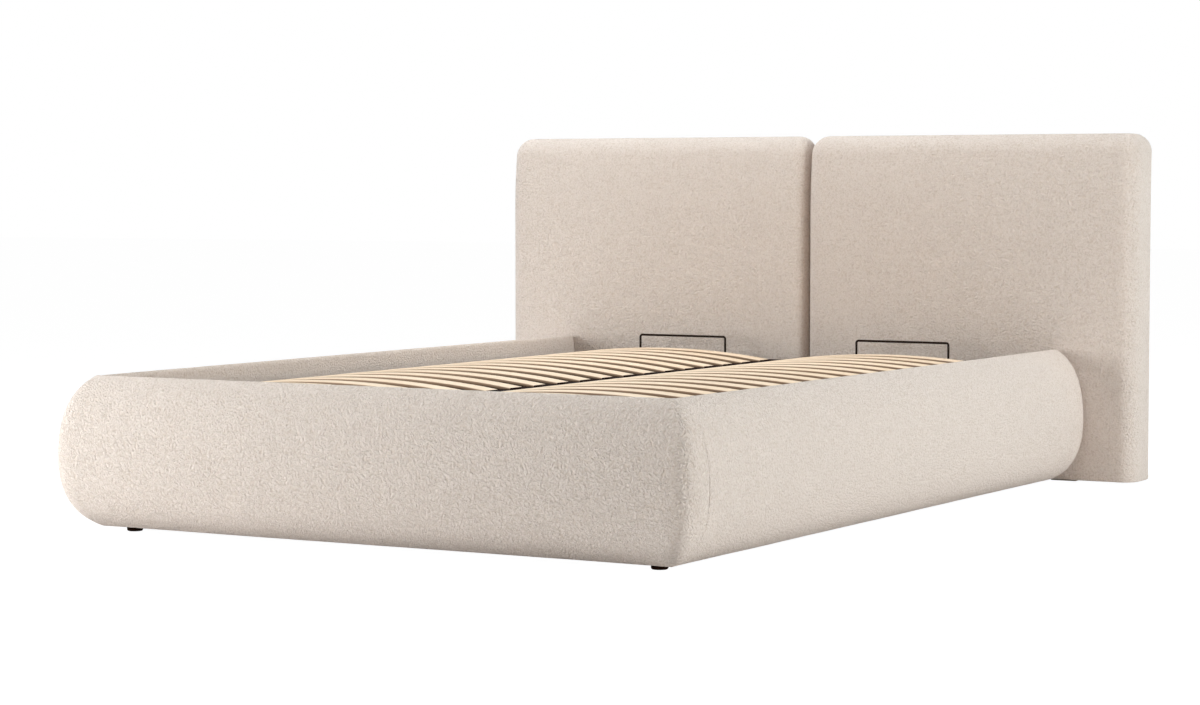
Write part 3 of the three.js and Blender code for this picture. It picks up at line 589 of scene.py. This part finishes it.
panel = {
    "inner": 0.001, "outer": 0.9465, "ground": 0.010, "top": 0.915, "depth": 0.174, "edge": 0.050,
    "face": 0.042, "back": 0.070, "gap": 0.120,  # upright edges: front, outer back, beside the gap
    "bottomEdge": 0.006, "crown": 0.004, "crownPower": 6.0, "step": 0.020,
    "lean": 0.020, "leanReach": 0.200,           # the face rolls back over the last stretch to the top
    "cornerPoints": 14, "sideRuns": 4, "bottomPoints": 5, "topPoints": 15, "closingRings": 4,
    "uneven": 0.0011, "unevenDepth": 0.06, "waves": (0.40, 0.12), "seeds": (31, 41),
    "sharp": 60.0, "pressure": 2.0,
}
panelHold = {"back": 0.105, "backReach": 0.040, "under": 1.5, "underReach": 0.030, "foam": 0.6}


def panelRing(z, shrink):
    # a level rectangle with round corners, drawn in by the shrink, as points round its outline
    p = panel
    half = (p["outer"] - p["inner"]) / 2 - shrink
    front, back = p["crown"] + shrink, p["depth"] - shrink
    face, outer, inner = (max(p[key] - shrink, p["bottomEdge"]) for key in ("face", "back", "gap"))
    inner = min(inner, back - front - face - p["bottomEdge"])
    corners = [(half - face, front + face, face, -math.pi / 2),
               (half - outer, back - outer, outer, 0.0),
               (inner - half, back - inner, inner, math.pi / 2),
               (face - half, front + face, face, math.pi)]
    runs = round((p["outer"] - p["inner"]) / p["step"])
    arc = np.linspace(0, math.pi / 2, p["cornerPoints"])
    parts = []
    for index, (x, y, radius, start) in enumerate(corners):
        turn = start + arc
        parts.append(np.stack([x + radius * np.cos(turn), y + radius * np.sin(turn)], axis=-1))
        nextX, nextY, nextRadius, nextStart = corners[(index + 1) % 4]
        end = np.array([nextX + nextRadius * math.cos(nextStart),
                        nextY + nextRadius * math.sin(nextStart)])
        count = p["sideRuns"] if index in (0, 2) else runs
        share = (np.arange(1, count) / count)[:, None]
        parts.append(parts[-1][-1] * (1 - share) + end * share)
    ring = np.concatenate(parts)
    return np.concatenate([ring, np.full((len(ring), 1), z)], axis=1)


def panelRings():
    # the rings from the soft bottom edge up the face and over the rounded top
    p = panel
    rings = []
    for angle in np.linspace(0, math.pi / 2, p["bottomPoints"]):
        rings.append(panelRing(p["ground"] + p["bottomEdge"] * (1 - math.cos(angle)),
                               p["bottomEdge"] * (1 - math.sin(angle))))
    low, shoulder = p["ground"] + p["bottomEdge"], p["top"] - p["edge"]
    for z in np.linspace(low, shoulder, 1 + round((shoulder - low) / p["step"]))[1:-1]:
        rings.append(panelRing(z, 0.0))
    for angle in np.linspace(0, math.pi / 2, p["topPoints"]):
        rings.append(panelRing(shoulder + p["edge"] * math.sin(angle),
                               p["edge"] * (1 - math.cos(angle))))
    return np.asarray(rings)


def closeOnLine(ring):
    # further rings that carry an outline flat onto the line along its middle
    rows = panel["closingRings"]
    middle = (ring[:, 1].min() + ring[:, 1].max()) / 2
    reach = np.abs(ring[:, 0]).max() - (ring[:, 1].max() - middle)
    line = np.stack([np.clip(ring[:, 0], -reach, reach), np.full(len(ring), middle), ring[:, 2]],
                    axis=-1)
    share = (np.arange(1, rows + 1) / rows)[:, None, None]
    return ring * (1 - share) + line * share


def panelHeld(points):
    # the cover is stapled behind and underneath, and lies on the board and foam all over. Each hold
    # fades in proportion to the distance, and the strongest one counts
    h = panelHold
    back = (points[:, 1] - bay["headFront"] - h["back"]) / h["backReach"]
    under = h["under"] - points[:, 2] / h["underReach"]
    return np.max([back, under, np.full(len(points), h["foam"])], axis=0)


def panelSkin():
    # the rings closed above and below; the face swells in the middle by the crown times
    # (1 - across^6) x (1 - up^6), and rolls back near the top by the lean times the square of how
    # far up the last stretch it is. Both fade towards the back
    p = panel
    rings = panelRings()
    rings = np.concatenate([closeOnLine(rings[0])[::-1], rings, closeOnLine(rings[-1])])
    half = (p["outer"] - p["inner"]) / 2
    up = 2 * (rings[..., 2] - p["ground"]) / (p["top"] - p["ground"]) - 1
    fade = (1 - np.abs(rings[..., 0] / half) ** p["crownPower"]) * (1 - rings[..., 1] / p["depth"])
    rings[..., 1] -= p["crown"] * (1 - np.abs(up) ** p["crownPower"]) * fade
    rolled = np.clip(1 - (p["top"] - rings[..., 2]) / p["leanReach"], 0, 1) ** 2
    rings[..., 1] += p["lean"] * rolled * (1 - rings[..., 1] / p["depth"])
    return rings


rings = panelSkin()
for side, sign in (("right", 1), ("left", -1)):
    placed = rings + [(panel["inner"] + panel["outer"]) / 2, bay["headFront"], 0]
    bulge = unevenness(placed, [seed + sign for seed in panel["seeds"]], panel["waves"])
    frontness = np.clip(1 - rings[..., 1] / panel["unevenDepth"], 0, 1)
    placed[..., 1] -= panel["uneven"] * bulge * frontness
    points = (placed * [sign, 1, 1]).reshape(-1, 3)
    faces = gridFaces(len(rings), rings.shape[1])
    cover = makePiece(side + "_headboard_padding", points, faces, boucle, "bed_frame",
                      [side + "_headboard_cover"], smooth=panel["sharp"])
    airUp(cover, panelHeld, panel["pressure"])
print("headboard padded")

slat = {
    "count": 18, "first": -0.9883, "last": 0.812, "width": 0.053, "thick": 0.008, "nose": 0.003,
    "innerEnd": 0.023, "outerEnd": 0.685, "innerTop": 0.312, "outerTop": 0.305, "arch": 0.026,
    "steps": 36, "nosePoints": 5, "sharp": 50.0,
}


def slatSection():
    # the slat's rectangle with its long edges rounded, as (across, up from the underside)
    half, thick, nose = slat["width"] / 2, slat["thick"], slat["nose"]
    arc = np.linspace(0, math.pi / 2, slat["nosePoints"])
    corners = [(half - nose, nose, -math.pi / 2), (half - nose, thick - nose, 0.0),
               (nose - half, thick - nose, math.pi / 2), (nose - half, nose, math.pi)]
    return np.concatenate([np.stack([x + nose * np.cos(s + arc), z + nose * np.sin(s + arc)], axis=-1)
                           for x, z, s in corners])


def slatRings(y):
    # the section carried along an arc of a circle from the middle of the bed outwards, of radius
    # length^2 / (8 arch) + arch / 2, on a line that falls a little to the outer end
    length = slat["outerEnd"] - slat["innerEnd"]
    radius = length ** 2 / 8 / slat["arch"] + slat["arch"] / 2
    share = np.linspace(0, 1, slat["steps"] + 1)
    along = (share - 0.5) * length
    rise = slat["innerTop"] + (slat["outerTop"] - slat["innerTop"]) * share - slat["thick"]
    rise = rise + slat["arch"] - radius + np.sqrt(radius ** 2 - along ** 2)
    section = slatSection()
    x = np.repeat((slat["innerEnd"] + share * length)[:, None], len(section), axis=1)
    across = y + np.tile(section[:, 0], (len(share), 1))
    return np.stack([x, across, rise[:, None] + section[:, 1]], axis=-1)


def writePlies(piece):
    # UV: how far along the slat in metres, and how far up through its thickness from 0 to 1
    mesh = piece.data
    corner = np.zeros(len(mesh.loops), int)
    mesh.loops.foreach_get("vertex_index", corner)
    count = slat["steps"] + 1
    up = np.tile(slatSection()[:, 1] / slat["thick"], count)
    along = np.repeat(np.linspace(0, slat["outerEnd"] - slat["innerEnd"], count), len(slatSection()))
    layer = mesh.uv_layers.new(name="plies")
    layer.data.foreach_set("uv", np.stack([along[corner], up[corner]], axis=-1).ravel())


def placeSlat(index):
    # the slats' middles stand at equal steps from the first at the foot end to the last
    return slat["first"] + (slat["last"] - slat["first"]) * index / (slat["count"] - 1)


holder = {
    "side": 0.003, "grip": 0.025, "wall": 0.004, "cheek": 0.005, "foot": 0.294, "edge": 0.0007,
    "middle": 0.00015, "endPlay": 0.0003, "play": 0.0002,  # between the columns, at the end, round it
}


def holderBlocks(y, inner):
    # a tray under and beside the end of a slat, with a wall across its end
    h, s = holder, slat
    half = s["width"] / 2
    if inner:
        xs = [h["middle"], s["innerEnd"] - h["endPlay"], s["innerEnd"] + h["grip"]]
        top = s["innerTop"]
    else:
        xs = [s["outerEnd"] - h["grip"], s["outerEnd"] + h["endPlay"], s["outerEnd"] + h["wall"]]
        top = s["outerTop"]
    ys = [y - half - h["side"], y - half - h["play"], y + half + h["play"], y + half + h["side"]]
    zs = [h["foot"], top - s["thick"] - h["play"], top - s["thick"] + h["cheek"], top]
    filled = np.zeros((2, 3, 3), bool)
    tray, wall = (1, 0) if inner else (0, 1)
    filled[tray, :, 0] = True
    filled[tray, (0, 2), 1] = True
    filled[wall] = True
    return blockwork(xs, ys, zs, filled)


for side, sign in (("right", 1), ("left", -1)):
    blocks, quads, first = [], [], 0
    for index in range(slat["count"]):
        node = f"{side}_slat_{index + 1:02d}"
        points, faces = sweepRings(slatRings(placeSlat(index)) * [sign, 1, 1])
        piece = makePiece(node + "_birch", points, faces, birch, "lift_base", [node],
                          smooth=slat["sharp"])
        writePlies(piece)
        for inner in (True, False):
            points, faces = holderBlocks(placeSlat(index), inner)
            blocks.append(points * [sign, 1, 1])
            quads += [[first + corner for corner in face] for face in faces]
            first += len(points)
    holders = makePiece(side + "_slat_holders", np.concatenate(blocks), quads, blackPlastic, "lift_base")
    soft = holders.modifiers.new("moulded edges", "BEVEL")
    soft.width = holder["edge"]
    soft.segments = meshSet["steps"]
    soft.limit_method = "ANGLE"
print("slats laid")

stop = {"radius": 0.003, "plane": 0.919, "centre": 0.331, "width": 0.266, "top": 0.364, "foot": 0.266,
        "corner": 0.006, "cornerPoints": 7, "sides": 14}


def stopPath():
    # up one leg, round a corner, across and down again
    left, right = stop["centre"] - stop["width"] / 2, stop["centre"] + stop["width"] / 2
    arc, r = np.linspace(0, math.pi / 2, stop["cornerPoints"]), stop["corner"]
    rise = np.stack([left + r - r * np.cos(arc), stop["top"] - r + r * np.sin(arc)], axis=-1)
    fall = np.stack([right - r + r * np.sin(arc), stop["top"] - r + r * np.cos(arc)], axis=-1)
    path = np.concatenate([[[left, stop["foot"]]], rise, fall, [[right, stop["foot"]]]])
    return np.stack([path[:, 0], np.full(len(path), stop["plane"]), path[:, 1]], axis=-1)


for side, sign in (("right", 1), ("left", -1)):
    points, faces = sweepRings(tubeRings(stopPath(), stop["radius"], stop["sides"]) * [sign, 1, 1])
    makePiece(side + "_mattress_stop_wire", points, faces, powderCoat, "lift_base",
              [side + "_mattress_stop"])

edges = {  # widths of the bevels in metres
    "tubes": 0.0016, "plate": 0.0007, "board": 0.0012, "panel": 0.0006, "strut": 0.0005, "beam": 0.0015,
}
dressNode("lift_frame", powderCoat, "lift_base", edges["tubes"])
for side in ("right", "left"):
    dressNode(side + "_hinge_plate", powderCoat, "bed_frame", edges["plate"])
    dressNode(side + "_side_board", timber, "bed_frame", edges["board"])
    dressNode(side + "_headboard_board", timber, "bed_frame", edges["board"])
    dressNode(side + "_floor_panel", fibreboard, "bed_frame", edges["panel"])
    dressNode(side + "_strut_cylinder", strutPaint, side + "_strut_outer", edges["strut"])
    dressNode(side + "_strut_rod", polishedSteel, side + "_strut_inner", edges["strut"])
dressNode("footboard_board", timber, "bed_frame", edges["board"])
dressNode("centre_floor_beam", timber, "bed_frame", edges["beam"])

glide = {"x": 0.675, "y": -1.042, "sides": 40, "profile": [
    (0.0, 0.0), (0.0150, 0.0), (0.0162, 0.0004), (0.0176, 0.0022), (0.0180, 0.0040), (0.0180, 0.0090),
    (0.0174, 0.0104), (0.0150, 0.0112), (0.0132, 0.0118), (0.0130, 0.0130), (0.0, 0.0130)]}
for side, sign in (("right", 1), ("left", -1)):
    rings = latheRings(glide["profile"], glide["sides"], (sign * glide["x"], glide["y"], 0.0))
    faces = gridFaces(len(rings), glide["sides"])
    makePiece(side + "_front_glide_foot", rings, faces, blackPlastic, "bed_frame",
              [side + "_front_glide"])
print("frame and fittings finished")

room = {
    "floor": (0.90, 0.90, 0.90, 1), "rough": 0.9, "half": 30.0,
    "white": 0.90, "glow": 1.10,  # seen or mirrored, this share of the floor is a glow this strong
    "air": (1.0, 0.95, 0.92, 1), "airStrength": 0.02,
}
floorMesh = bpy.data.meshes.new("floor")
reach = room["half"]
floorCorners = [(-reach, -reach, 0), (reach, -reach, 0), (reach, reach, 0), (-reach, reach, 0)]
floorMesh.from_pydata(floorCorners, [], [(0, 1, 2, 3)])
floor = bpy.data.objects.new("floor", floorMesh)
scene.collection.objects.link(floor)
floorMaterial, shader, coords, add, links = newMaterial("floor")
shader.inputs["Base Color"].default_value = room["floor"]
shader.inputs["Roughness"].default_value = room["rough"]
light = add("ShaderNodeLightPath")
glow = add("ShaderNodeEmission", {"Color": (1, 1, 1, 1), "Strength": room["glow"]})
seen = combine(add, "MAXIMUM", light.outputs["Is Camera Ray"], light.outputs["Is Glossy Ray"])
mix = add("ShaderNodeMixShader", {0: combine(add, "MULTIPLY", seen, room["white"]), 1: shader.outputs[0],
                                  2: glow.outputs[0]})
links.new(mix.outputs[0], floorMaterial.node_tree.nodes["Material Output"].inputs[0])
floorMesh.materials.append(floorMaterial)

# the world: a faint light from all round, which the camera sees as white
world = bpy.data.worlds.new("room")
scene.world = world
world.use_nodes = True
nodes, links = world.node_tree.nodes, world.node_tree.links
nodes.clear()
output = nodes.new("ShaderNodeOutputWorld")
soft, white, blend = (nodes.new(kind) for kind in
                      ("ShaderNodeBackground", "ShaderNodeBackground", "ShaderNodeMixShader"))
soft.inputs["Color"].default_value = room["air"]
soft.inputs["Strength"].default_value = room["airStrength"]
white.inputs["Color"].default_value = (1, 1, 1, 1)
white.inputs["Strength"].default_value = 1.0
rays = nodes.new("ShaderNodeLightPath")
seen = nodes.new("ShaderNodeMath")
seen.operation = "MAXIMUM"
links.new(rays.outputs["Is Camera Ray"], seen.inputs[0])
links.new(rays.outputs["Is Transmission Ray"], seen.inputs[1])
links.new(seen.outputs[0], blend.inputs[0])
links.new(soft.outputs[0], blend.inputs[1])
links.new(white.outputs[0], blend.inputs[2])
links.new(blend.outputs[0], output.inputs[0])


lamps = {  # where it stands, what it is aimed at, its sides in metres, watts and colour
    "left key": ((-3.10, -3.50, 1.03), (-0.5, -1.0, 0.2), (1.8, 1.8), 194, (0.90, 0.97, 1.0)),
    "right back": ((7.4, 0.6, 2.1), (0.8, 0.0, 0.25), (4.2, 3.4), 374, (0.83, 0.95, 1.0)),
    "right front": ((7.4, -1.9, 2.0), (0.8, -0.3, 0.25), (3.4, 3.4), 124, (1.0, 0.94, 0.86)),
    "left back": ((-1.8, 2.2, 3.1), (0.0, 1.08, 0.9), (2.0, 2.0), 62, (0.88, 0.96, 1.0)),
    "ceiling": ((0.0, 0.0, 4.2), (0.0, 0.0, 0.0), (4.0, 4.0), 142, (0.90, 0.97, 1.0)),
}


def softbox(name, place, aim, size, power, colour):
    # a soft lamp with a rectangular face, turned about the upright and then tipped towards its aim
    data = bpy.data.lights.new(name, "AREA")
    data.shape = "RECTANGLE"
    data.size, data.size_y = size
    data.energy = power
    data.color = colour
    lamp = bpy.data.objects.new(name, data)
    lamp.location = place
    direction = np.asarray(aim, float) - np.asarray(place, float)
    yaw = math.atan2(direction[1], direction[0]) - math.pi / 2
    pitch = math.atan2(direction[2], math.hypot(direction[0], direction[1]))
    lamp.rotation_euler = (math.pi / 2 + pitch, 0, yaw)
    scene.collection.objects.link(lamp)


for name, values in lamps.items():
    softbox(name, *values)
print("room lit")

bpy.context.view_layer.update()
